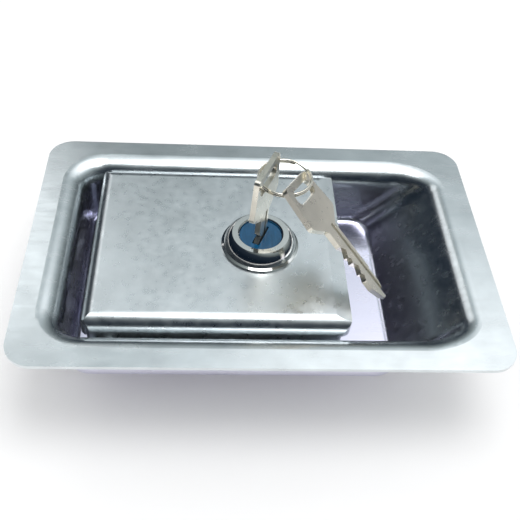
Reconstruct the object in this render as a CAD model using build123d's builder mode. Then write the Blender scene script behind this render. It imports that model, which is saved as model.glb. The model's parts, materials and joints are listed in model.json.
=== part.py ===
"""Recessed paddle latch with a key lock, in millimetres.

Origin: centre of the flange's rear face, which seats on the panel.
+Z points out of the panel, +X runs from the pivot end to the finger well.
"""

from build123d import *
import math
import os

os.makedirs("parts", exist_ok=True)

# ---- driving dimensions ----------------------------------------------------

SHEET = 1.2                 # tray sheet
FLANGE_L = 160.0
FLANGE_W = 108.0
FLANGE_R = 9.0              # plan corner radius
RIM_R = 7.8                 # roll from flange into the well
WELL_W = 77.8               # between front and back walls
WELL_DEPTH = 24.8           # flange skin to floor skin
WELL_R = 7.5                # upright corner radius
FLOOR_R = 2.8               # floor to wall radius
WELL_LEFT = -64.4           # foot of the left wall
WELL_RIGHT = 46.0           # foot of the sloping finger-well wall
SLOPE = 47.6                # finger-well wall, degrees from the floor
DRAFT = 2.0                 # left wall, degrees
BLOCK_BASE = -40.0

FLOOR_Z = SHEET - WELL_DEPTH
FLOOR_UNDER = FLOOR_Z - SHEET

PADDLE_SHEET = 1.5
PADDLE_TOP = 2.3
PADDLE_LEFT = -58.6
PADDLE_RIGHT = 28.4
PADDLE_W = 75.6
LUG_FOOT = -15.0            # lower edge of the side flanges at the pivot
SKIRT_FOOT = -9.4           # and along the rest of the paddle
END_FOOT = -6.4             # lower edge of the left flange
SIDE_BEND = 5.0             # outside bend radii
END_BEND = 4.0
LIP_BEND = 1.8
BREAK_X = 23.4              # crease before the grip edge
BREAK_DROP = 0.9
LIP_FOOT = -3.4             # lower edge of the grip edge's lip
PLAN_R = 3.4                # free corners, in plan
PLAN_CUT = 3.0              # pivot-end corners, in plan

PIVOT_X = -50.0
PIVOT_Z = -9.2
PIN_R = 2.5
FIT = 0.05                  # radial running clearance

LOCK_X = -0.55
LOCK_Y = -2.1
LOCK_TURN = 67.0            # keyway direction in plan, degrees from +X
BARREL_R = 9.0
BARREL_FLATS = 16.4
BEZEL_R = 13.4
BEZEL_H = 5.6
PLUG_R = 6.0
PLUG_FACE_R = 7.35
PLUG_TOP = 7.0              # face of the plug
BARREL_END = FLOOR_UNDER
CAM_T = 2.0
CAM_TOP = FLOOR_UNDER - 0.5
CAM_REACH = 23.5

LIFT = 38.0                 # paddle travel, degrees
ARM_T = 4.0
ARM_REACH = 22.2            # pivot to centre of the arm's tip
ARM_TIP_R = 3.5

BOLT_W = 22.0
BOLT_H = 10.0
BOLT_TIP = -80.0
BOLT_TAIL = -40.0
BOLT_TOP = FLOOR_UNDER - 0.3
BRACKET_T = 2.0
BRACKET_LEFT = -65.6
BRACKET_RIGHT = -13.4

KEY_T = 1.8
BLADE_W = 7.8
BLADE_L = 29.0
KEY_LEAN = 3.5              # slack of the key in its slot, degrees
NECK_H = 9.7                # neck above the plug's face
HEAD_H = 19.6
HOLE_H = 14.63              # middle of the head's hole above the neck
SLOT_L = 9.8                # keyway
SLOT_W = 2.6
RING_R = 8.75               # centreline
RING_WIRE = 0.4


def save(part, name):
    part.label = name
    export_step(part, f"parts/{name}.step")


# ---- tray --------------------------------------------------------------------


def well_form(grow):
    """The hollow of the tray, with every wall moved out by grow."""
    rise = 12.0
    height = rise - FLOOR_Z
    left_top = WELL_LEFT - height * math.tan(math.radians(DRAFT))
    right_top = WELL_RIGHT + height / math.tan(math.radians(SLOPE))
    with BuildPart() as form:
        with BuildSketch(Plane.XZ):
            with BuildLine():
                Polyline(
                    (WELL_LEFT, FLOOR_Z),
                    (WELL_RIGHT, FLOOR_Z),
                    (right_top, rise),
                    (left_top, rise),
                    close=True,
                )
            make_face()
            if grow > 0:
                offset(amount=grow, kind=Kind.INTERSECTION)
        extrude(amount=WELL_W / 2 + grow, both=True)
        upright = [e for e in form.edges() if abs((e @ 1).Z - (e @ 0).Z) > 10]
        fillet(upright, WELL_R + grow)
        floor = form.faces().sort_by(Axis.Z)[0]
        fillet(floor.edges(), FLOOR_R + grow)
    return form.part


def pressing(drop):
    """Block whose upper skin is the tray's skin, sunk by drop."""
    top = SHEET - drop
    with BuildPart() as block:
        with BuildSketch(Plane.XY.offset(BLOCK_BASE)):
            RectangleRounded(FLANGE_L, FLANGE_W, FLANGE_R)
        extrude(amount=top - BLOCK_BASE)
        add(well_form(drop), mode=Mode.SUBTRACT)
        rim = block.faces().filter_by(Plane.XY).sort_by(Axis.Z)[-1].inner_wires()[0]
        fillet(rim.edges(), RIM_R - drop)
    return block.part


# Cut-outs of the floor, along X and Y.
ARM_SLOT_X = (-55.2, -31.0)
ARM_SLOT_W = 6.4
WINDOW_X = (-12.6, 12.2)
WINDOW_Y = (-14.6, 23.0)
RIVET_R = 1.6
RIVET_SPOTS = [(x, side * 18.0) for x in (-54.0, -20.0) for side in (-1, 1)]


def middle(span):
    return (span[0] + span[1]) / 2


def length(span):
    return span[1] - span[0]


with BuildPart() as pan:
    add(pressing(0))
    add(pressing(SHEET), mode=Mode.SUBTRACT)
    with BuildSketch(Plane.XY.offset(BLOCK_BASE)):
        with Locations((middle(ARM_SLOT_X), 0)):
            RectangleRounded(length(ARM_SLOT_X), ARM_SLOT_W, 1.0)
        with Locations((middle(WINDOW_X), middle(WINDOW_Y))):
            RectangleRounded(length(WINDOW_X), length(WINDOW_Y), 3.0)
        with Locations(*RIVET_SPOTS):
            Circle(RIVET_R)
    extrude(amount=FLOOR_Z - BLOCK_BASE + 1, mode=Mode.SUBTRACT)
    with BuildSketch(Plane.XZ):
        with Locations((PIVOT_X, PIVOT_Z)):
            Circle(PIN_R)
    extrude(amount=FLANGE_W, both=True, mode=Mode.SUBTRACT)
save(pan.part, "pan")

# ---- pivot pin and its clip --------------------------------------------------

WALL_OUT = WELL_W / 2 + SHEET
HEAD_GAP = 0.1
HEAD_T = 1.6
CLIP_T = 0.8
CLIP_GAP = 0.3
GROOVE_R = PIN_R - 0.5
PIVOT = (PIVOT_X, PIVOT_Z)

with BuildPart() as pivot_pin:
    with BuildSketch(Plane.XZ.offset(WALL_OUT + HEAD_GAP)):
        with Locations(PIVOT):
            Circle(3.4)
    extrude(amount=HEAD_T)
    fillet(pivot_pin.edges().sort_by(Axis.Y)[0], 0.8)
    with BuildSketch(Plane.XZ.offset(WALL_OUT + HEAD_GAP)):
        with Locations(PIVOT):
            Circle(PIN_R)
    extrude(amount=-2 * WALL_OUT - HEAD_GAP - 2.4)
    chamfer(pivot_pin.edges().sort_by(Axis.Y)[-1], 0.4)
    with BuildSketch(Plane.XZ.offset(-WALL_OUT - CLIP_GAP)):
        with Locations(PIVOT):
            Circle(PIN_R + 1)
            Circle(GROOVE_R, mode=Mode.SUBTRACT)
    extrude(amount=-CLIP_T, mode=Mode.SUBTRACT)
save(pivot_pin.part, "pivot_pin")

with BuildPart() as pivot_clip:
    with BuildSketch(Plane.XZ.offset(-WALL_OUT - CLIP_GAP)):
        with Locations(PIVOT):
            Circle(4.2)
            Circle(GROOVE_R, mode=Mode.SUBTRACT)
        with Locations((PIVOT_X, PIVOT_Z - 3.2)):
            Rectangle(2 * GROOVE_R, 6.4, mode=Mode.SUBTRACT)
        with Locations(*[(PIVOT_X + 2.7 * side, PIVOT_Z + 1.6) for side in (-1, 1)]):
            Circle(0.6, mode=Mode.SUBTRACT)
    extrude(amount=-CLIP_T)
save(pivot_clip.part, "pivot_clip")

# ---- paddle ------------------------------------------------------------------


def paddle_form(inset, foot):
    """Solid inside the folded paddle's skin, moved in by inset."""
    left = PADDLE_LEFT + inset
    right = PADDLE_RIGHT - inset
    top = PADDLE_TOP - inset
    side = PADDLE_W / 2 - inset
    with BuildPart() as form:
        with BuildSketch(Plane.XZ):
            with BuildLine():
                Polyline(
                    (left, foot),
                    (right, foot),
                    (right, top - BREAK_DROP),
                    (BREAK_X, top),
                    (left, top),
                    close=True,
                )
            face = make_face()
            corners = face.vertices().group_by(Axis.Y)
            fillet(corners[-1].sort_by(Axis.X)[0], END_BEND - inset)
            fillet(corners[1], LIP_BEND - inset)
        extrude(amount=FLANGE_W, both=True)
        with BuildSketch(Plane.YZ):
            with BuildLine():
                Polyline((-side, foot), (side, foot), (side, top), (-side, top), close=True)
            face = make_face()
            fillet(face.vertices().group_by(Axis.Y)[-1], SIDE_BEND - inset)
        extrude(amount=FLANGE_L, both=True, mode=Mode.INTERSECT)
        with BuildSketch(Plane.XY.offset(foot)):
            with Locations((middle((left, right)), 0)):
                plan = Rectangle(right - left, 2 * side)
            ends = plan.vertices().group_by(Axis.X)
            chamfer(ends[0], PLAN_CUT - 0.6 * inset)
            fillet(ends[-1], PLAN_R - inset)
        extrude(amount=FLANGE_L, mode=Mode.INTERSECT)
    return form.part


with BuildPart() as paddle:
    add(paddle_form(0, LUG_FOOT))
    add(paddle_form(PADDLE_SHEET, LUG_FOOT - 5), mode=Mode.SUBTRACT)
    # Side flanges: a rounded lug round the pin, then a shallower skirt.
    with BuildSketch(Plane.XZ):
        with BuildLine():
            Polyline(
                (PIVOT_X + 4.5, LUG_FOOT - 1),
                (PADDLE_RIGHT + 1, LUG_FOOT - 1),
                (PADDLE_RIGHT + 1, SKIRT_FOOT + 2.0),
                (BREAK_X, SKIRT_FOOT),
                (PIVOT_X + 9.5, SKIRT_FOOT),
                close=True,
            )
        make_face()
    extrude(amount=FLANGE_W, both=True, mode=Mode.SUBTRACT)
    # Left flange and grip lip end above the skirts.
    with BuildSketch(Plane.YZ.offset(PADDLE_LEFT - 1)):
        with Locations((0, END_FOOT - 10)):
            Rectangle(PADDLE_W + 2, 20)
    extrude(amount=PLAN_CUT + 1.6, mode=Mode.SUBTRACT)
    with BuildSketch(Plane.YZ.offset(PADDLE_RIGHT - PLAN_R)):
        with Locations((0, LIP_FOOT - 10)):
            Rectangle(PADDLE_W + 2, 20)
    extrude(amount=PLAN_R + 1, mode=Mode.SUBTRACT)
    # Relief slits where the left flange meets the side flanges.
    for side in (-1, 1):
        slit = Plane(
            origin=(PADDLE_LEFT + PLAN_CUT / 2, side * (PADDLE_W - PLAN_CUT) / 2, LUG_FOOT),
            x_dir=(1, -side, 0),
        )
        with BuildSketch(slit):
            Rectangle(6.5, 0.9)
        extrude(amount=PADDLE_TOP - 3.6 - LUG_FOOT, mode=Mode.SUBTRACT)
    with BuildSketch(Plane.XZ):
        with Locations(PIVOT):
            Circle(PIN_R + FIT)
    extrude(amount=FLANGE_W, both=True, mode=Mode.SUBTRACT)
    with BuildSketch(Plane.XY.offset(PADDLE_TOP - 3)):
        with Locations((LOCK_X, LOCK_Y)):
            Circle(BARREL_R + 0.1)
    extrude(amount=4, mode=Mode.SUBTRACT)
save(paddle.part, "paddle")

# ---- lever arm under the paddle ----------------------------------------------

PLATE_UNDER = PADDLE_TOP - PADDLE_SHEET
TIP_Z = PIVOT_Z - ARM_REACH
FOOT_T = 2.0

with BuildPart() as lever_arm:
    with BuildSketch(Plane.XZ.offset(-ARM_T / 2)):
        with BuildLine():
            Polyline(
                (PIVOT_X - 4.0, PLATE_UNDER),
                (PIVOT_X + 12.0, PLATE_UNDER),
                (PIVOT_X + 6.0, PIVOT_Z),
                (PIVOT_X + 3.6, PIVOT_Z - 10.0),
                (PIVOT_X + ARM_TIP_R, TIP_Z),
                (PIVOT_X - ARM_TIP_R, TIP_Z),
                (PIVOT_X - 3.6, PIVOT_Z - 10.0),
                (PIVOT_X - 5.0, PIVOT_Z),
                close=True,
            )
        make_face()
        with Locations((PIVOT_X, TIP_Z)):
            Circle(ARM_TIP_R)
        with Locations(PIVOT):
            Circle(PIN_R + FIT, mode=Mode.SUBTRACT)
    extrude(amount=ARM_T)
    with BuildSketch(Plane.XY.offset(PLATE_UNDER - FOOT_T)):
        with Locations((PIVOT_X + 5.6, 0)):
            RectangleRounded(20, 22, 3)
    extrude(amount=FOOT_T)
    hollow = lever_arm.edges().filter_by(Axis.X).filter_by_position(
        Axis.Z, PLATE_UNDER - FOOT_T - 0.1, PLATE_UNDER - FOOT_T + 0.1)
    inner = [e for e in hollow if abs(abs((e @ 0).Y) - ARM_T / 2) < 0.01]
    fillet(inner, 1.5)
save(lever_arm.part, "lever_arm")

# ---- bolt and its guide --------------------------------------------------------

BOLT_MID = BOLT_TOP - BOLT_H / 2
BOLT_SLOT = (-69.0, PIVOT_X + ARM_TIP_R + 0.6)
SPIGOT_R = 2.2
SPIGOT_L = 4.0

with BuildPart() as bolt:
    # Side view: the nose is bevelled underneath so that the door slams shut.
    with BuildSketch(Plane.XZ):
        with BuildLine():
            Polyline(
                (BOLT_TIP + 1.2, BOLT_TOP),
                (BOLT_TAIL, BOLT_TOP),
                (BOLT_TAIL, BOLT_TOP - BOLT_H),
                (BOLT_TIP + 12.5, BOLT_TOP - BOLT_H),
                (BOLT_TIP, BOLT_TOP - 2.2),
                (BOLT_TIP, BOLT_TOP - 1.2),
                close=True,
            )
        make_face()
    extrude(amount=BOLT_W / 2, both=True)
    upright = bolt.edges().filter_by(Axis.Z).sort_by(Axis.X)[-2:]
    fillet(upright, 1.5)
    with BuildSketch(Plane.XY.offset(BOLT_TOP - BOLT_H)):
        with Locations((middle(BOLT_SLOT), 0)):
            RectangleRounded(length(BOLT_SLOT), ARM_T + 1.0, 1.0)
    extrude(amount=BOLT_H, mode=Mode.SUBTRACT)
    with BuildSketch(Plane.YZ.offset(BOLT_TAIL)):
        with Locations((0, BOLT_MID)):
            Circle(SPIGOT_R)
    extrude(amount=SPIGOT_L)
    chamfer(bolt.edges().sort_by(Axis.X)[-1], 0.6)
save(bolt.part, "bolt")

GUIDE_GAP = 0.2
INNER_W = BOLT_W / 2 + GUIDE_GAP
INNER_H = BOLT_H + 0.3 + GUIDE_GAP
EAR_OUT = 23.0

with BuildPart() as bolt_bracket:
    with BuildSketch(Plane.YZ.offset(BRACKET_LEFT)):
        with BuildLine():
            Polyline(
                (-EAR_OUT, FLOOR_UNDER),
                (-INNER_W, FLOOR_UNDER),
                (-INNER_W, FLOOR_UNDER - INNER_H),
                (INNER_W, FLOOR_UNDER - INNER_H),
                (INNER_W, FLOOR_UNDER),
                (EAR_OUT, FLOOR_UNDER),
                (EAR_OUT, FLOOR_UNDER - BRACKET_T),
                (INNER_W + BRACKET_T, FLOOR_UNDER - BRACKET_T),
                (INNER_W + BRACKET_T, FLOOR_UNDER - INNER_H - BRACKET_T),
                (-INNER_W - BRACKET_T, FLOOR_UNDER - INNER_H - BRACKET_T),
                (-INNER_W - BRACKET_T, FLOOR_UNDER - BRACKET_T),
                (-EAR_OUT, FLOOR_UNDER - BRACKET_T),
                close=True,
            )
        section = make_face()
        levels = section.vertices().group_by(Axis.Y)
        fillet(levels[0], 2.5)
        fillet(levels[2], 1.5)
    extrude(amount=BRACKET_RIGHT - BRACKET_LEFT)
    with BuildSketch(Plane.YZ.offset(BRACKET_RIGHT - BRACKET_T)):
        with Locations((0, FLOOR_UNDER - (INNER_H + BRACKET_T) / 2)):
            Rectangle(2 * INNER_W, INNER_H + BRACKET_T)
    extrude(amount=BRACKET_T)
    with BuildSketch(Plane.XY.offset(FLOOR_UNDER)):
        with Locations(*RIVET_SPOTS):
            Circle(RIVET_R)
    extrude(amount=-BRACKET_T, mode=Mode.SUBTRACT)
save(bolt_bracket.part, "bolt_bracket")

with BuildPart() as bracket_rivets:
    with BuildSketch(Plane.XY.offset(FLOOR_Z)):
        with Locations(*RIVET_SPOTS):
            Circle(2 * RIVET_R)
    extrude(amount=0.9)
    fillet(bracket_rivets.edges().group_by(Axis.Z)[-1], 0.6)
    with BuildSketch(Plane.XY.offset(FLOOR_UNDER - BRACKET_T - 1.1)):
        with Locations(*RIVET_SPOTS):
            Circle(1.6 * RIVET_R)
    extrude(amount=1.1)
    with BuildSketch(Plane.XY.offset(FLOOR_UNDER - BRACKET_T)):
        with Locations(*RIVET_SPOTS):
            Circle(RIVET_R)
    extrude(amount=FLOOR_Z - FLOOR_UNDER + BRACKET_T)
save(bracket_rivets.part, "bracket_rivets")


def wire_coil(path, wire_r):
    """Round wire swept along the path now being built."""
    with BuildPart() as coil:
        with BuildSketch(Plane(origin=path @ 0, z_dir=path % 0)):
            Circle(wire_r)
        sweep(path=path, is_frenet=True)
    return coil.part


# ---- springs -------------------------------------------------------------------

SPRING_R = 3.2
SPRING_WIRE = 0.45
SPRING_TURNS = 9
SPRING_START = BOLT_TAIL + SPRING_WIRE + 0.02
SPRING_END = BRACKET_RIGHT - BRACKET_T - SPRING_WIRE - 0.02

with BuildLine() as coil_line:
    Helix(
        pitch=(SPRING_END - SPRING_START) / SPRING_TURNS,
        height=SPRING_END - SPRING_START,
        radius=SPRING_R,
        center=(SPRING_START, 0, BOLT_MID),
        direction=(1, 0, 0),
    )
bolt_spring = wire_coil(coil_line.line, SPRING_WIRE)
save(bolt_spring, "bolt_spring")

TORSION_R = 3.7
TORSION_WIRE = 0.55
TORSION_TURNS = 5.25
TORSION_PITCH = 1.3

with BuildLine() as torsion_line:
    coil = Helix(
        pitch=TORSION_PITCH,
        height=TORSION_PITCH * TORSION_TURNS,
        radius=TORSION_R,
        center=(PIVOT_X, ARM_T / 2 + 2.6, PIVOT_Z),
        direction=(0, 1, 0),
    )
    start = coil @ 0
    hook = start - (coil % 0) * 4.5
    rise = hook + Vector(-1.5, 0, 1.5)
    TangentArc(hook, rise, tangent=(start - hook) * -1)
    Line(hook, start)
    Line(rise, (rise.X, rise.Y, PLATE_UNDER - 1.2))
    Line(coil @ 1, ((coil @ 1).X, (coil @ 1).Y, FLOOR_Z + 0.1))
paddle_spring = wire_coil(torsion_line.line, TORSION_WIRE)
save(paddle_spring, "paddle_spring")

# ---- lock: housing with its bezel, nut and washer --------------------------------

LOCK = (LOCK_X, LOCK_Y)
BORE_TOP = PADDLE_TOP + BEZEL_H
PLUG_STEP = 4.6             # underside of the plug's head
NUT_AF = 24.0
NUT_T = 4.0
WASHER_T = 1.0


def turned(points):
    """Solid of revolution about the lock's axis, from a closed (r, z) outline."""
    with BuildPart() as part:
        with BuildSketch(Plane.XZ.offset(-LOCK_Y)):
            with Locations((LOCK_X, 0)):
                with BuildLine():
                    Polyline(*points, close=True)
                make_face()
        revolve(axis=Axis((LOCK_X, LOCK_Y, 0), (0, 0, 1)))
    return part.part


with BuildPart() as lock_housing:
    with BuildSketch(Plane.XZ):
        with BuildLine():
            lip = Line((BARREL_R, PADDLE_TOP), (BEZEL_R, PADDLE_TOP))
            rim = Line(lip @ 1, (BEZEL_R, PADDLE_TOP + 0.7))
            step = Line(rim @ 1, (BEZEL_R - 0.8, PADDLE_TOP + 1.1))
            shoulder = RadiusArc(step @ 1, (10.2, BORE_TOP - 0.3), -6.5)
            crown = Line(shoulder @ 1, (9.8, BORE_TOP))
            ring = Line(crown @ 1, (PLUG_FACE_R + 0.5, BORE_TOP))
            mouth = Line(ring @ 1, (PLUG_FACE_R + FIT, BORE_TOP - 0.4))
            bore = Line(mouth @ 1, (PLUG_FACE_R + FIT, PLUG_STEP - FIT))
            seat = Line(bore @ 1, (PLUG_R + FIT, PLUG_STEP - FIT))
            inside = Line(seat @ 1, (PLUG_R + FIT, BARREL_END))
            foot = Line(inside @ 1, (BARREL_R, BARREL_END))
            Line(foot @ 1, lip @ 0)
        make_face()
    revolve(axis=Axis.Z)
    # Two flats along the threaded barrel.
    with BuildSketch(Plane.XY.offset(BARREL_END)):
        for side in (-1, 1):
            with Locations((0, side * (BARREL_FLATS / 2 + 5))):
                Rectangle(4 * BARREL_R, 10)
    extrude(amount=PLATE_UNDER - BARREL_END - 0.5, mode=Mode.SUBTRACT)
    # Index notch on the ring, in line with the keyway.
    notch = Plane(origin=(0, 0, BORE_TOP), x_dir=(1, 0, 0)).rotated((0, 0, LOCK_TURN))
    with BuildSketch(notch):
        with Locations((-(PLUG_FACE_R + 1.3), 0)):
            SlotOverall(1.8, 0.8)
    extrude(amount=-0.35, mode=Mode.SUBTRACT)
lock_housing.part.position = (LOCK_X, LOCK_Y, 0)
save(lock_housing.part, "lock_housing")

with BuildPart() as lock_nut:
    with BuildSketch(Plane.XY.offset(PLATE_UNDER - WASHER_T - NUT_T)):
        with Locations(LOCK):
            RegularPolygon(NUT_AF / 2, 6, major_radius=False)
            Circle(BARREL_R + FIT, mode=Mode.SUBTRACT)
    extrude(amount=NUT_T)
save(lock_nut.part, "lock_nut")

with BuildPart() as lock_washer:
    with BuildSketch(Plane.XY.offset(PLATE_UNDER - WASHER_T)):
        with Locations(LOCK):
            Circle(12.6)
            Circle(BARREL_R + FIT, mode=Mode.SUBTRACT)
        with Locations(LOCK):
            with PolarLocations(13.0, 12):
                Circle(0.9, mode=Mode.SUBTRACT)
    extrude(amount=WASHER_T)
save(lock_washer.part, "lock_washer")

# ---- plug with its coloured face, wafers and cam ----------------------------------

FACE_T = 0.8
KEYWAY_FOOT = -14.0
WAFER_T = 0.8
SLOT_SHIFT = 0.3            # room for the leaning blade
WAFER_Z = [2.2 - 3.2 * i for i in range(5)]
TAIL_AF = 7.0
TAIL_END = CAM_TOP - CAM_T
SCREW_R = 2.0
KEYWAY = Plane(origin=(LOCK_X, LOCK_Y, 0), x_dir=(1, 0, 0)).rotated((0, 0, LOCK_TURN))

with BuildPart() as plug:
    with BuildSketch(KEYWAY.offset(PLUG_STEP)):
        Circle(PLUG_FACE_R)
    extrude(amount=PLUG_TOP - FACE_T - PLUG_STEP)
    with BuildSketch(KEYWAY.offset(BARREL_END)):
        Circle(PLUG_R)
    extrude(amount=PLUG_STEP - BARREL_END)
    with BuildSketch(KEYWAY.offset(TAIL_END)):
        Circle(5.0)
        Rectangle(12, TAIL_AF, mode=Mode.INTERSECT)
    extrude(amount=BARREL_END - TAIL_END)
    with BuildSketch(KEYWAY.offset(KEYWAY_FOOT)):
        with Locations((-SLOT_SHIFT, 0)):
            Rectangle(SLOT_L + 2 * SLOT_SHIFT, SLOT_W)
    extrude(amount=PLUG_TOP - KEYWAY_FOOT, mode=Mode.SUBTRACT)
    for z in WAFER_Z:
        with BuildSketch(KEYWAY.offset(z)):
            Rectangle(2 * PLUG_R + 1, 6.4)
        extrude(amount=-WAFER_T, mode=Mode.SUBTRACT)
    with BuildSketch(KEYWAY.offset(TAIL_END)):
        Circle(SCREW_R + FIT)
    extrude(amount=7, mode=Mode.SUBTRACT)
save(plug.part, "plug")

with BuildPart() as plug_face:
    with BuildSketch(KEYWAY.offset(PLUG_TOP - FACE_T)):
        Circle(PLUG_FACE_R)
        Rectangle(SLOT_L, SLOT_W, mode=Mode.SUBTRACT)
    extrude(amount=FACE_T)
    fillet(plug_face.faces().sort_by(Axis.Z)[-1].outer_wire().edges(), 0.25)
save(plug_face.part, "plug_face")

with BuildPart() as wafers:
    for z in WAFER_Z:
        with BuildSketch(KEYWAY.offset(z)):
            Circle(PLUG_R - 0.05)
            Rectangle(2 * PLUG_R, 6.4, mode=Mode.INTERSECT)
            with Locations((-SLOT_SHIFT, 0)):
                Rectangle(SLOT_L + 2 * SLOT_SHIFT, SLOT_W + 0.4, mode=Mode.SUBTRACT)
        extrude(amount=-WAFER_T)
save(wafers.part, "wafers")

with BuildPart() as cam:
    with BuildSketch(Plane.XY.offset(TAIL_END)):
        with Locations(LOCK):
            Circle(8.0)
        with Locations((LOCK_X, LOCK_Y + CAM_REACH / 2)):
            Rectangle(11.0, CAM_REACH)
    extrude(amount=CAM_T)
    ends = cam.edges().filter_by(Axis.Z).group_by(Axis.Y)[-1]
    fillet(ends, 3.0)
    with BuildSketch(KEYWAY.offset(TAIL_END)):
        Circle(5.0)
        Rectangle(12, TAIL_AF, mode=Mode.INTERSECT)
    extrude(amount=CAM_T, mode=Mode.SUBTRACT)
save(cam.part, "cam")

with BuildPart() as cam_washer:
    with BuildSketch(Plane.XY.offset(TAIL_END)):
        with Locations(LOCK):
            Circle(5.5)
            Circle(SCREW_R, mode=Mode.SUBTRACT)
    extrude(amount=-0.8)
save(cam_washer.part, "cam_washer")

with BuildPart() as cam_screw:
    with BuildSketch(Plane.XY.offset(TAIL_END - 0.8)):
        with Locations(LOCK):
            Circle(4.0)
    extrude(amount=-2.4)
    fillet(cam_screw.edges().group_by(Axis.Z)[0], 1.2)
    with BuildSketch(Plane.XY.offset(TAIL_END - 0.8)):
        with Locations(LOCK):
            Circle(SCREW_R)
    extrude(amount=7)
    with BuildSketch(Plane.XY.offset(TAIL_END - 3.2)):
        with Locations(LOCK):
            Rectangle(5.0, 0.9)
            Rectangle(0.9, 5.0)
    extrude(amount=1.2, mode=Mode.SUBTRACT)
save(cam_screw.part, "cam_screw")

# ---- keys and split ring -----------------------------------------------------------

HEAD_TOP_W = 9.6            # half widths of the head
HEAD_LOW_W = 11.6
SHOULDER_H = 4.6
HOLE_W = 15.5
HOLE_T = 5.2
CUTS = [(-8.2, 1.5), (-11.6, 0.9), (-15.0, 1.7), (-18.4, 1.1)]


def key_solid(place):
    """Stamped key lying in the plane, neck at its origin and head along +y."""
    half = BLADE_W / 2
    with BuildPart() as key:
        with BuildSketch(place):
            with BuildLine():
                Polyline(
                    (0.8, -BLADE_L),
                    (half - 0.7, 5.0 - BLADE_L),
                    (half - 0.7, 10.5 - BLADE_L),
                    (half, 10.5 - BLADE_L),
                    (half, 0),
                    (HEAD_LOW_W, SHOULDER_H),
                    (HEAD_TOP_W, HEAD_H),
                    (-HEAD_TOP_W, HEAD_H),
                    (-HEAD_LOW_W, SHOULDER_H),
                    (-half, 0),
                    (-half, 5.5 - BLADE_L),
                    (-0.8, -BLADE_L),
                    close=True,
                )
            face = make_face()
            wide = [v for v in face.vertices() if place.to_local_coords(v).Y > 1]
            fillet(wide, 1.5)
            with Locations((0, HOLE_H)):
                SlotOverall(HOLE_W, HOLE_T, mode=Mode.SUBTRACT)
            for height, deep in CUTS:
                with Locations((-half, height)):
                    Rectangle(2 * deep, 2 * deep, rotation=45, mode=Mode.SUBTRACT)
        extrude(amount=KEY_T / 2, both=True)
        with BuildSketch(place.offset(KEY_T / 2)):
            with Locations((1.4, -BLADE_L / 2)):
                Rectangle(1.5, BLADE_L + 2)
        extrude(amount=-0.6, mode=Mode.SUBTRACT)
        with BuildSketch(place.offset(-KEY_T / 2)):
            with Locations((-0.6, -BLADE_L / 2)):
                Rectangle(1.5, BLADE_L + 2)
        extrude(amount=0.6, mode=Mode.SUBTRACT)
    return key.part


lean = math.radians(KEY_LEAN)
turn = math.radians(LOCK_TURN)
along = Vector(math.cos(turn), math.sin(turn), 0)
up = Vector(0, 0, 1)
key_across = along * math.cos(lean) - up * math.sin(lean)
key_up = along * math.sin(lean) + up * math.cos(lean)
key_neck = Vector(LOCK_X, LOCK_Y, PLUG_TOP) + along * -0.4 + key_up * NECK_H
KEY_PLANE = Plane(origin=key_neck, x_dir=key_across, z_dir=key_across.cross(key_up))
save(key_solid(KEY_PLANE), "key")

# Spare key: its pose is where the ring lets it hang.
SPARE_NECK = (20.84, -12.30, 20.39)
SPARE_ACROSS = (0.40, 0.87, -0.30)
SPARE_UP = (-0.64, 0.49, 0.59)
RING_CENTRE = (6.10, 1.35, 29.86)
RING_STEP = 0.84            # height between its two turns
RING_JOIN = 50              # where the turns cross over, degrees

spare_normal = Vector(*SPARE_ACROSS).cross(Vector(*SPARE_UP))
spare_place = Plane(origin=SPARE_NECK, x_dir=SPARE_ACROSS, z_dir=spare_normal)
save(key_solid(spare_place), "spare_key")


def ring_point(angle):
    """Point of the double ring's centreline, angle counted over both turns."""
    share = min(max((angle - 345) / 30, 0), 1)
    height = (share - 0.5) * RING_STEP
    rad = math.radians(RING_JOIN + angle)
    return Vector(*RING_CENTRE) + Vector(
        RING_R * math.cos(rad), RING_R * math.sin(rad), height)


with BuildLine() as ring_line:
    Spline(*[ring_point(angle) for angle in range(14, 721 - 14, 12)])
key_ring = wire_coil(ring_line.line, RING_WIRE)
save(key_ring, "key_ring")
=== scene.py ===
"""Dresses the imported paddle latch: materials, barrel thread, stage, lamps and camera."""

import json
import math

import bpy
from mathutils import Matrix, Vector

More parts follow.
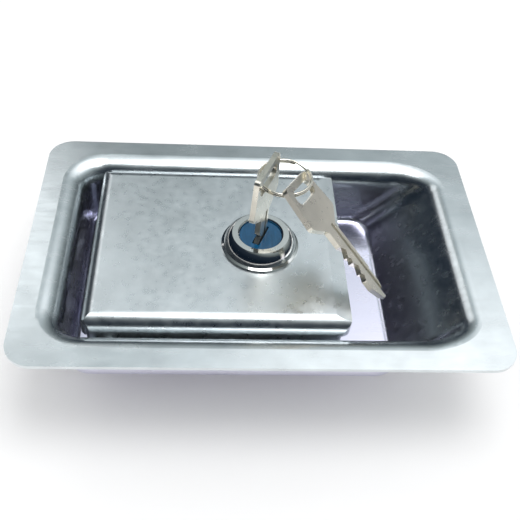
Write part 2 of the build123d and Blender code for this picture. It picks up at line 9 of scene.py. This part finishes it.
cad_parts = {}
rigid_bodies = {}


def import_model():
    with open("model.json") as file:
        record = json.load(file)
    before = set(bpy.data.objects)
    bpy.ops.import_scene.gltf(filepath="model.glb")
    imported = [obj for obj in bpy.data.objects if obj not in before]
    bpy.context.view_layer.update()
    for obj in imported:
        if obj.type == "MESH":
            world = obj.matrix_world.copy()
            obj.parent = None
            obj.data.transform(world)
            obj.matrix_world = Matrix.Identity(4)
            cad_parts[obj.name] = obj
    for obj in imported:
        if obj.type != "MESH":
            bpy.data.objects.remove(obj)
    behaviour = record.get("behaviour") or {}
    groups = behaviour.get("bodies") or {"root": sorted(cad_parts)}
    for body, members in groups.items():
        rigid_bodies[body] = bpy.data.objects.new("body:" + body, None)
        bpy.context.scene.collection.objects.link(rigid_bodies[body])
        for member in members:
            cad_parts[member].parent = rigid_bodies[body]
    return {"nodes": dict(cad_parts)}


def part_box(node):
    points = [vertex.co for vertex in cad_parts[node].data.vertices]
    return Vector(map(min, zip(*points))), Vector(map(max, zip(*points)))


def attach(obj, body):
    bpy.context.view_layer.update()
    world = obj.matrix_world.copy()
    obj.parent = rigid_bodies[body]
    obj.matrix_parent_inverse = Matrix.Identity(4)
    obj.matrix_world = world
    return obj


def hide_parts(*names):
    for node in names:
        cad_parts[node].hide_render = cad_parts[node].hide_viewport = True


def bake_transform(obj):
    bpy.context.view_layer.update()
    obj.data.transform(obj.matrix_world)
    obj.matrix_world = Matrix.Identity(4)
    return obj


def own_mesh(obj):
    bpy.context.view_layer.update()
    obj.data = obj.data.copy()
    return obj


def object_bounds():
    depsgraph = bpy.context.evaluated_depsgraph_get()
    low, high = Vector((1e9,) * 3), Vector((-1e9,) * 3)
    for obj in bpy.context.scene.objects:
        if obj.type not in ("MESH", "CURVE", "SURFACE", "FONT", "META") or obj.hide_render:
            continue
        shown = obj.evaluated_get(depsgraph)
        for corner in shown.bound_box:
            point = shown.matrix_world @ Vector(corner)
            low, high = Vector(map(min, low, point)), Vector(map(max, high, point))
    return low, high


bl_info = {
    "name": "Paddle Latch",
    "version": (1, 0, 0),
    "blender": (4, 5, 0),
    "location": "View3D > Sidebar > Latch",
    "description": "Finishes, thread, stage and camera for a recessed paddle latch",
    "category": "Object",
}

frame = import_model()
CAD_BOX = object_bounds()
MM = 0.001

BARREL_LOW, BARREL_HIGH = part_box("lock_housing")
BARREL_X = (BARREL_LOW[0] + BARREL_HIGH[0]) / 2
BARREL_Y = (BARREL_LOW[1] + BARREL_HIGH[1]) / 2
NUT_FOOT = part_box("lock_nut")[0][2]

# Noise scales of the plate's cloudy tone, fine grain and long wave.
CLOUD_SCALE = 90
GRAIN_SCALE = 350
WAVE_SCALE = 60
SWIRL_SCALE = 1500
# Part of a noise's range that carries its values.
MIDDLE = (0.3, 0.7)
# Least and greatest roughness, as shares of the finish's own.
GLOSS_SPREAD = (0.85, 1.2)
PLATE_BUMP = 0.1 * MM
PLASTIC_BUMP = 0.03 * MM

# Depths between which the tray's tone turns to the painted reflection tint of its well.
HOLLOW_FOOT = -22 * MM
HOLLOW_MOUTH = -6 * MM

STEPS_PER_TURN = 32
WELD_DISTANCE = 0.001 * MM
SMOOTH_ANGLE = math.radians(40)

FLOOR_GAP = 0.5 * MM
FLOOR_GREYS = (0.93, 0.95)
SENSOR_WIDTH = 36

# The photo's camera, as the directions of its right, up and back.
CAMERA_RIGHT = (0.99745, -0.03386, 0.06279)
CAMERA_UP = (-0.01871, 0.72524, 0.68824)
CAMERA_BACK = (-0.06884, -0.68766, 0.72276)

# World level on what is neither seen directly nor mirrored.
PLAIN_LIGHT = 0.85

# The tent is darkest low down and behind the camera.
TENT_R = 3.5
TENT_UP = (0.30, 0.25, 0.88)
TENT_TONES = [
    (0.0, (0.006, 0.012, 0.022, 1)),
    (0.45, (0.02, 0.03, 0.045, 1)),
    (0.64, (0.18, 0.21, 0.215, 1)),
    (0.76, (0.36, 0.41, 0.42, 1)),
    (0.83, (0.54, 0.61, 0.63, 1)),
    (0.88, (1.10, 1.17, 1.20, 1)),
    (0.94, (1.8, 1.8, 1.8, 1)),
]

# Name, place, size and share of the softbox power.
LAMPS = [
    ("softbox_top", (0.10, -0.05, 0.9), 0.5, 6.0),
    ("softbox_left", (-0.45, 0.75, 0.75), 0.45, 1.4),
]


# ---- settings -----------------------------------------------------------------


class LatchFinishes(bpy.types.PropertyGroup):
    """Colours and gloss of the latch's metals and plastic, and the painted reflection tint of
    the tray's well.
    """

    zinc: bpy.props.FloatVectorProperty(
        name="Zinc", description="Colour of the plated sheet", subtype="COLOR",
        size=3, min=0, max=1, default=(0.70, 0.74, 0.76))
    # Painted reflection: a lavender tint in the tray's well that stands in for what the well
    # mirrors, not a colour of the plate.
    painted_well_reflection: bpy.props.FloatVectorProperty(
        name="Hollow", description="Colour of the plate in the tray's hollow",
        subtype="COLOR", size=3, min=0, max=1, default=(0.74, 0.73, 0.86))
    zinc_rough: bpy.props.FloatProperty(
        name="Zinc roughness", description="Roughness of the plated sheet",
        default=0.24, min=0, max=1, subtype="FACTOR")
    chrome: bpy.props.FloatVectorProperty(
        name="Chrome", description="Colour of the bezel's plate", subtype="COLOR",
        size=3, min=0, max=1, default=(0.80, 0.80, 0.78))
    nickel: bpy.props.FloatVectorProperty(
        name="Nickel", description="Colour of the keys' plate", subtype="COLOR",
        size=3, min=0, max=1, default=(0.88, 0.84, 0.74))
    brass: bpy.props.FloatVectorProperty(
        name="Brass", description="Colour of the wafers", subtype="COLOR",
        size=3, min=0, max=1, default=(0.76, 0.58, 0.27))
    blue: bpy.props.FloatVectorProperty(
        name="Plug blue", description="Colour of the plug's face", subtype="COLOR",
        size=3, min=0, max=1, default=(0.004, 0.085, 0.20))


class LatchThread(bpy.types.PropertyGroup):
    """Thread on the lock's barrel."""

    pitch: bpy.props.FloatProperty(
        name="Pitch", description="Rise of one turn", default=1.0 * MM, unit="LENGTH")
    depth: bpy.props.FloatProperty(
        name="Depth", description="Height of the ridge over the barrel",
        default=0.35 * MM, unit="LENGTH")
    radius: bpy.props.FloatProperty(
        name="Radius", description="Radius of the barrel", default=9.0 * MM, unit="LENGTH")
    flats: bpy.props.FloatProperty(
        name="Flats", description="Distance across the barrel's flats",
        default=16.4 * MM, unit="LENGTH")


class LatchStage(bpy.types.PropertyGroup):
    """Room, lamps and camera."""

    floor_size: bpy.props.FloatProperty(
        name="Floor", description="Side of the floor", default=6.0, unit="LENGTH")
    lens: bpy.props.FloatProperty(
        name="Lens", description="Camera focal length in millimetres",
        default=53.86, min=1, unit="CAMERA")
    camera_at: bpy.props.FloatVectorProperty(
        name="Camera", description="Place of the camera", size=3, subtype="TRANSLATION",
        default=(-0.019021, -0.192458, 0.194485))
    lamp_power: bpy.props.FloatProperty(
        name="Softbox", description="Power of the softbox over the latch",
        default=0.5, min=0, unit="POWER")


# ---- materials ------------------------------------------------------------------


def new_material(name):
    """Empty node material with a Principled shader; returns it, its tree and shader."""
    material = bpy.data.materials.new(name)
    material.use_nodes = True
    tree = material.node_tree
    shader = tree.nodes["Principled BSDF"]
    return material, tree, shader


def object_noise(tree, scale, stretch=(1, 1, 1), detail=4.0):
    """Noise over the object's own coordinates; returns its factor socket."""
    coords = tree.nodes.new("ShaderNodeTexCoord")
    mapping = tree.nodes.new("ShaderNodeMapping")
    mapping.inputs["Scale"].default_value = stretch
    noise = tree.nodes.new("ShaderNodeTexNoise")
    noise.inputs["Scale"].default_value = scale
    noise.inputs["Detail"].default_value = detail
    tree.links.new(coords.outputs["Object"], mapping.inputs["Vector"])
    tree.links.new(mapping.outputs["Vector"], noise.inputs["Vector"])
    return noise.outputs["Fac"]


def blend_colours(tree, factor, low, high):
    """Colour ramp from low to high over the middle of factor."""
    ramp = tree.nodes.new("ShaderNodeValToRGB")
    ramp.color_ramp.elements[0].position = MIDDLE[0]
    ramp.color_ramp.elements[0].color = (*low, 1)
    ramp.color_ramp.elements[1].position = MIDDLE[1]
    ramp.color_ramp.elements[1].color = (*high, 1)
    tree.links.new(factor, ramp.inputs["Fac"])
    return ramp.outputs["Color"]


def span(tree, factor, low, high):
    """factor's middle range carried to low..high."""
    node = tree.nodes.new("ShaderNodeMapRange")
    node.inputs["From Min"].default_value = MIDDLE[0]
    node.inputs["From Max"].default_value = MIDDLE[1]
    node.inputs["To Min"].default_value = low
    node.inputs["To Max"].default_value = high
    tree.links.new(factor, node.inputs["Value"])
    return node.outputs["Result"]


def add_bump(tree, shader, height, strength, distance):
    """Bump from height; distance is its depth in metres."""
    bump = tree.nodes.new("ShaderNodeBump")
    bump.inputs["Strength"].default_value = strength
    bump.inputs["Distance"].default_value = distance
    tree.links.new(height, bump.inputs["Height"])
    tree.links.new(bump.outputs["Normal"], shader.inputs["Normal"])


def shade(colour, share):
    """colour made darker or lighter by share."""
    return tuple(min(channel * share, 1) for channel in colour)


def plated_metal(name, colour, rough, mottle=0.1, grain=(1, 1, 1), bump=0.25):
    """Plated metal with cloudy tone, uneven gloss and a faint grain."""
    material, tree, shader = new_material(name)
    shader.inputs["Metallic"].default_value = 1
    cloud = object_noise(tree, CLOUD_SCALE, detail=6)
    tone = blend_colours(tree, cloud, shade(colour, 1 - mottle), shade(colour, 1 + mottle / 2))
    tree.links.new(tone, shader.inputs["Base Color"])
    fine = object_noise(tree, GRAIN_SCALE, stretch=grain, detail=2)
    low, high = (rough * share for share in GLOSS_SPREAD)
    tree.links.new(span(tree, fine, low, high), shader.inputs["Roughness"])
    wave = object_noise(tree, WAVE_SCALE, stretch=grain, detail=1)
    add_bump(tree, shader, wave, bump, PLATE_BUMP)
    return material


def blue_plastic(colour):
    """Glossy moulded face with faint swirl marks."""
    material, tree, shader = new_material("plug_blue")
    swirl = object_noise(tree, SWIRL_SCALE, stretch=(1, 0.2, 1))
    tone = blend_colours(tree, swirl, shade(colour, 0.85), shade(colour, 1.2))
    tree.links.new(tone, shader.inputs["Base Color"])
    tree.links.new(span(tree, swirl, 0.12, 0.22), shader.inputs["Roughness"])
    shader.inputs["Coat Weight"].default_value = 0.3
    shader.inputs["Coat Roughness"].default_value = 0.08
    add_bump(tree, shader, swirl, 0.1, PLASTIC_BUMP)
    return material


def paint_well_reflection(material, colour, foot, mouth):
    """Paints a reflection into the tray's well: carries the plate's tone to colour from the
    mouth of the tray down to its foot.
    """
    tree = material.node_tree
    shader = tree.nodes["Principled BSDF"]
    tone = shader.inputs["Base Color"].links[0].from_socket
    coords = tree.nodes.new("ShaderNodeTexCoord")
    split = tree.nodes.new("ShaderNodeSeparateXYZ")
    depth = tree.nodes.new("ShaderNodeMapRange")
    depth.inputs["From Min"].default_value = mouth
    depth.inputs["From Max"].default_value = foot
    mix = tree.nodes.new("ShaderNodeMix")
    mix.data_type = "RGBA"
    mix.inputs["B"].default_value = (*colour, 1)
    tree.links.new(coords.outputs["Object"], split.inputs["Vector"])
    tree.links.new(split.outputs["Z"], depth.inputs["Value"])
    tree.links.new(depth.outputs["Result"], mix.inputs["Factor"])
    tree.links.new(tone, mix.inputs["A"])
    tree.links.new(mix.outputs["Result"], shader.inputs["Base Color"])


def dress(node, material):
    """Puts the material on every slot of a CAD node."""
    piece = frame["nodes"][node]
    if not piece.material_slots:
        piece.data.materials.append(material)
    for slot in piece.material_slots:
        slot.link = "OBJECT"
        slot.material = material


def deselect():
    """Leaves nothing selected."""
    for piece in bpy.data.objects:
        piece.select_set(False)


# ---- operators --------------------------------------------------------------------


class LATCH_OT_sheet(bpy.types.Operator):
    """Zinc plate on the tray, the paddle and the pressed parts, with a painted reflection tint
    low in the tray's well
    """

    bl_idname = "latch.sheet"
    bl_label = "Plate the sheet parts"

    def execute(self, context):
        finish = context.scene.latch_finishes
        tray = plated_metal("zinc_tray_painted_reflection", finish.zinc, finish.zinc_rough, grain=(0.25, 1, 1))
        # Painted reflection tint, blended in by depth below the tray's mouth.
        paint_well_reflection(tray, finish.painted_well_reflection, HOLLOW_FOOT, HOLLOW_MOUTH)
        for node in ("pan", "bolt_bracket", "lever_arm", "bolt", "cam", "lock_nut"):
            dress(node, tray)
        lid = plated_metal("zinc_paddle", finish.zinc, finish.zinc_rough + 0.06)
        dress("paddle", lid)
        return {"FINISHED"}


class LATCH_OT_hardware(bpy.types.Operator):
    """Plain steel on the pin, rivets, washers and springs"""

    bl_idname = "latch.hardware"
    bl_label = "Plate the hardware"

    def execute(self, context):
        steel = plated_metal("plain_steel", (0.62, 0.63, 0.64), 0.32)
        for node in ("bracket_rivets", "pivot_pin", "cam_washer", "cam_screw"):
            dress(node, steel)
        spring = plated_metal("spring_steel", (0.48, 0.49, 0.50), 0.3, grain=(1, 0.2, 1))
        for node in ("pivot_clip", "bolt_spring", "paddle_spring", "lock_washer"):
            dress(node, spring)
        return {"FINISHED"}


class LATCH_OT_lock(bpy.types.Operator):
    """Chrome, plug metal, blue face and brass wafers of the lock"""

    bl_idname = "latch.lock"
    bl_label = "Finish the lock"

    def execute(self, context):
        finish = context.scene.latch_finishes
        dress("lock_housing", plated_metal("bezel_chrome", finish.chrome, 0.1, mottle=0.05))
        dress("plug", plated_metal("plug_zinc", (0.5, 0.49, 0.46), 0.35))
        dress("wafers", plated_metal("wafer_brass", finish.brass, 0.3))
        dress("plug_face", blue_plastic(finish.blue))
        return {"FINISHED"}


class LATCH_OT_keys(bpy.types.Operator):
    """Nickel plate on both keys and their ring"""

    bl_idname = "latch.keys"
    bl_label = "Plate the keys"

    def execute(self, context):
        finish = context.scene.latch_finishes
        plate = plated_metal("key_nickel", finish.nickel, 0.3, mottle=0.1)
        for node in ("key", "spare_key"):
            dress(node, plate)
        dress("key_ring", plated_metal("ring_nickel", finish.nickel, 0.14, mottle=0.05))
        return {"FINISHED"}


class LATCH_OT_thread(bpy.types.Operator):
    """Thread ridge on the barrel below the nut, trimmed at the flats"""

    bl_idname = "latch.thread"
    bl_label = "Cut the barrel thread"

    def execute(self, context):
        thread = context.scene.latch_thread
        turns = int((NUT_FOOT - BARREL_LOW[2]) / thread.pitch) - 2
        if turns < 1:
            raise RuntimeError("the barrel is too short for a thread")
        deselect()
        bpy.ops.mesh.primitive_circle_add(
            vertices=3, radius=thread.depth, fill_type="NGON",
            location=(thread.radius, 0, BARREL_LOW[2] + thread.pitch),
            rotation=(math.radians(90), 0, 0))
        ridge = context.object
        ridge.name = "barrel_thread"
        bpy.ops.object.transform_apply(location=True, rotation=True, scale=True)
        screw = ridge.modifiers.new("thread", "SCREW")
        screw.axis = "Z"
        screw.angle = math.tau * turns
        screw.screw_offset = thread.pitch * turns
        screw.steps = STEPS_PER_TURN * turns
        screw.render_steps = STEPS_PER_TURN * turns
        screw.use_merge_vertices = True
        bpy.ops.object.modifier_apply(modifier=screw.name)
        for side in (-1, 1):
            bpy.ops.object.mode_set(mode="EDIT")
            bpy.ops.mesh.select_all(action="SELECT")
            bpy.ops.mesh.bisect(
                plane_co=(0, side * thread.flats / 2, 0), plane_no=(0, side, 0),
                use_fill=True, clear_outer=True)
            bpy.ops.object.mode_set(mode="OBJECT")
        ridge.location = (BARREL_X, BARREL_Y, 0)
        bpy.ops.object.transform_apply(location=True, rotation=True, scale=True)
        ridge.data.materials.append(frame["nodes"]["lock_housing"].material_slots[0].material)
        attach(ridge, "paddle")
        return {"FINISHED"}


def flexing_copy(node, name):
    """Copy of a CAD spring that may change shape; the node itself is no longer shown."""
    deselect()
    source = frame["nodes"][node]
    source.select_set(True)
    bpy.context.view_layer.objects.active = source
    bpy.ops.object.duplicate(linked=False)
    wire = bpy.context.object
    wire.name = name
    bpy.ops.object.parent_clear(type="CLEAR_KEEP_TRANSFORM")
    bpy.ops.object.mode_set(mode="EDIT")
    bpy.ops.mesh.select_all(action="SELECT")
    bpy.ops.mesh.remove_doubles(threshold=WELD_DISTANCE)
    bpy.ops.object.mode_set(mode="OBJECT")
    bpy.ops.object.shade_smooth_by_angle(angle=SMOOTH_ANGLE)
    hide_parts(node)
    return wire


class LATCH_OT_springs(bpy.types.Operator):
    """Bolt spring and paddle spring copied with their own meshes in place of the CAD nodes; the
    bolt spring rides on the housing
    """

    bl_idname = "latch.springs"
    bl_label = "Wind the springs"

    def execute(self, context):
        coil = flexing_copy("bolt_spring", "bolt_spring_wire")
        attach(coil, "housing")
        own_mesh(coil)
        leg = flexing_copy("paddle_spring", "paddle_spring_wire")
        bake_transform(leg)
        return {"FINISHED"}


class LATCH_OT_stage(bpy.types.Operator):
    """White floor, softbox room, lamp and camera"""

    bl_idname = "latch.stage"
    bl_label = "Set the stage"

    def floor(self, size):
        deselect()
        bpy.ops.mesh.primitive_plane_add(size=size, location=(0, 0, CAD_BOX[0][2] - FLOOR_GAP))
        plane = bpy.context.object
        plane.name = "stage_floor"
        material, tree, shader = new_material("floor_white")
        cloud = object_noise(tree, 2)
        tone = blend_colours(tree, cloud, *((grey, grey, grey) for grey in FLOOR_GREYS))
        tree.links.new(tone, shader.inputs["Base Color"])
        shader.inputs["Roughness"].default_value = 0.9
        plane.data.materials.append(material)

    def room(self, scene):
        """White all round, to the camera, metal and glass alike, and plain light on the rest."""
        world = bpy.data.worlds.new("studio")
        scene.world = world
        world.use_nodes = True
        tree = world.node_tree
        tree.nodes.clear()
        output = tree.nodes.new("ShaderNodeOutputWorld")
        mix = tree.nodes.new("ShaderNodeMixShader")
        path = tree.nodes.new("ShaderNodeLightPath")
        seen = [path.outputs[f"Is {ray} Ray"] for ray in ("Camera", "Glossy", "Transmission")]
        total = seen[0]
        for ray in seen[1:]:
            either = tree.nodes.new("ShaderNodeMath")
            either.operation = "MAXIMUM"
            tree.links.new(total, either.inputs[0])
            tree.links.new(ray, either.inputs[1])
            total = either.outputs["Value"]
        tree.links.new(total, mix.inputs["Fac"])
        for socket, level in ((1, PLAIN_LIGHT), (2, 1.0)):
            background = tree.nodes.new("ShaderNodeBackground")
            background.inputs["Color"].default_value = (level, level, level, 1)
            tree.links.new(background.outputs["Background"], mix.inputs[socket])
        tree.links.new(mix.outputs["Shader"], output.inputs["Surface"])

    def tent(self):
        """Graded light tent over the latch that only polished surfaces mirror."""
        deselect()
        bpy.ops.mesh.primitive_uv_sphere_add(segments=48, ring_count=24, radius=TENT_R)
        tent = bpy.context.object
        tent.name = "stage_tent"
        bpy.ops.object.mode_set(mode="EDIT")
        bpy.ops.mesh.select_all(action="SELECT")
        bpy.ops.mesh.bisect(
            plane_co=(0, 0, CAD_BOX[0][2]), plane_no=(0, 0, 1), clear_inner=True)
        bpy.ops.object.mode_set(mode="OBJECT")
        material = bpy.data.materials.new("tent_cloth")
        material.use_nodes = True
        tree = material.node_tree
        tree.nodes.clear()
        output = tree.nodes.new("ShaderNodeOutputMaterial")
        glow = tree.nodes.new("ShaderNodeEmission")
        coords = tree.nodes.new("ShaderNodeTexCoord")
        unit = tree.nodes.new("ShaderNodeVectorMath")
        unit.operation = "NORMALIZE"
        height = tree.nodes.new("ShaderNodeVectorMath")
        height.operation = "DOT_PRODUCT"
        height.inputs[1].default_value = TENT_UP
        ramp = tree.nodes.new("ShaderNodeValToRGB")
        elements = ramp.color_ramp.elements
        elements[0].position, elements[0].color = TENT_TONES[0]
        elements[1].position, elements[1].color = TENT_TONES[-1]
        for position, colour in TENT_TONES[1:-1]:
            elements.new(position).color = colour
        link = tree.links.new
        link(coords.outputs["Object"], unit.inputs[0])
        link(unit.outputs["Vector"], height.inputs[0])
        link(height.outputs["Value"], ramp.inputs["Fac"])
        link(ramp.outputs["Color"], glow.inputs["Color"])
        link(glow.outputs["Emission"], output.inputs["Surface"])
        tent.data.materials.append(material)
        tent.visible_camera = False
        tent.visible_diffuse = False
        tent.visible_transmission = False
        tent.visible_shadow = False

    def camera(self, scene, stage):
        data = bpy.data.cameras.new("camera")
        data.lens = stage.lens
        data.sensor_width = SENSOR_WIDTH
        camera = bpy.data.objects.new("camera", data)
        scene.collection.objects.link(camera)
        turn = Matrix((CAMERA_RIGHT, CAMERA_UP, CAMERA_BACK)).transposed()
        camera.matrix_world = Matrix.Translation(stage.camera_at) @ turn.to_4x4()
        scene.camera = camera

    def lamps(self, stage):
        for name, place, size, power in LAMPS:
            deselect()
            bpy.ops.object.light_add(type="AREA", location=place)
            lamp = bpy.context.object
            lamp.name = name
            lamp.data.energy = power * stage.lamp_power
            lamp.data.size = size
            aim = -Vector(place)
            lamp.rotation_euler = aim.to_track_quat("-Z", "Y").to_euler()

    def execute(self, context):
        scene = context.scene
        stage = scene.latch_stage
        self.floor(stage.floor_size)
        self.room(scene)
        self.tent()
        self.lamps(stage)
        self.camera(scene, stage)
        scene.view_settings.view_transform = "Standard"
        return {"FINISHED"}


class LATCH_PT_panel(bpy.types.Panel):
    """Buttons for the latch's finishes, thread and stage."""

    bl_idname = "LATCH_PT_panel"
    bl_label = "Paddle Latch"
    bl_space_type = "VIEW_3D"
    bl_region_type = "UI"
    bl_category = "Latch"

    def draw(self, context):
        for operator in OPERATORS:
            self.layout.operator(operator.bl_idname)


OPERATORS = (
    LATCH_OT_sheet,
    LATCH_OT_hardware,
    LATCH_OT_lock,
    LATCH_OT_keys,
    LATCH_OT_thread,
    LATCH_OT_springs,
    LATCH_OT_stage,
)
GROUPS = {
    "latch_finishes": LatchFinishes,
    "latch_thread": LatchThread,
    "latch_stage": LatchStage,
}


def register():
    """Adds the settings, operators and panel."""
    for cls in (*GROUPS.values(), *OPERATORS, LATCH_PT_panel):
        bpy.utils.register_class(cls)
    for name, group in GROUPS.items():
        setattr(bpy.types.Scene, name, bpy.props.PointerProperty(type=group))


def unregister():
    """Takes them away again."""
    for name in GROUPS:
        delattr(bpy.types.Scene, name)
    for cls in (LATCH_PT_panel, *reversed(OPERATORS), *GROUPS.values()):
        bpy.utils.unregister_class(cls)


def main():
    """Runs every operator."""
    register()
    bpy.ops.latch.sheet()
    bpy.ops.latch.hardware()
    bpy.ops.latch.lock()
    bpy.ops.latch.keys()
    bpy.ops.latch.thread()
    bpy.ops.latch.springs()
    bpy.ops.latch.stage()


if __name__ == "__main__":
    main()
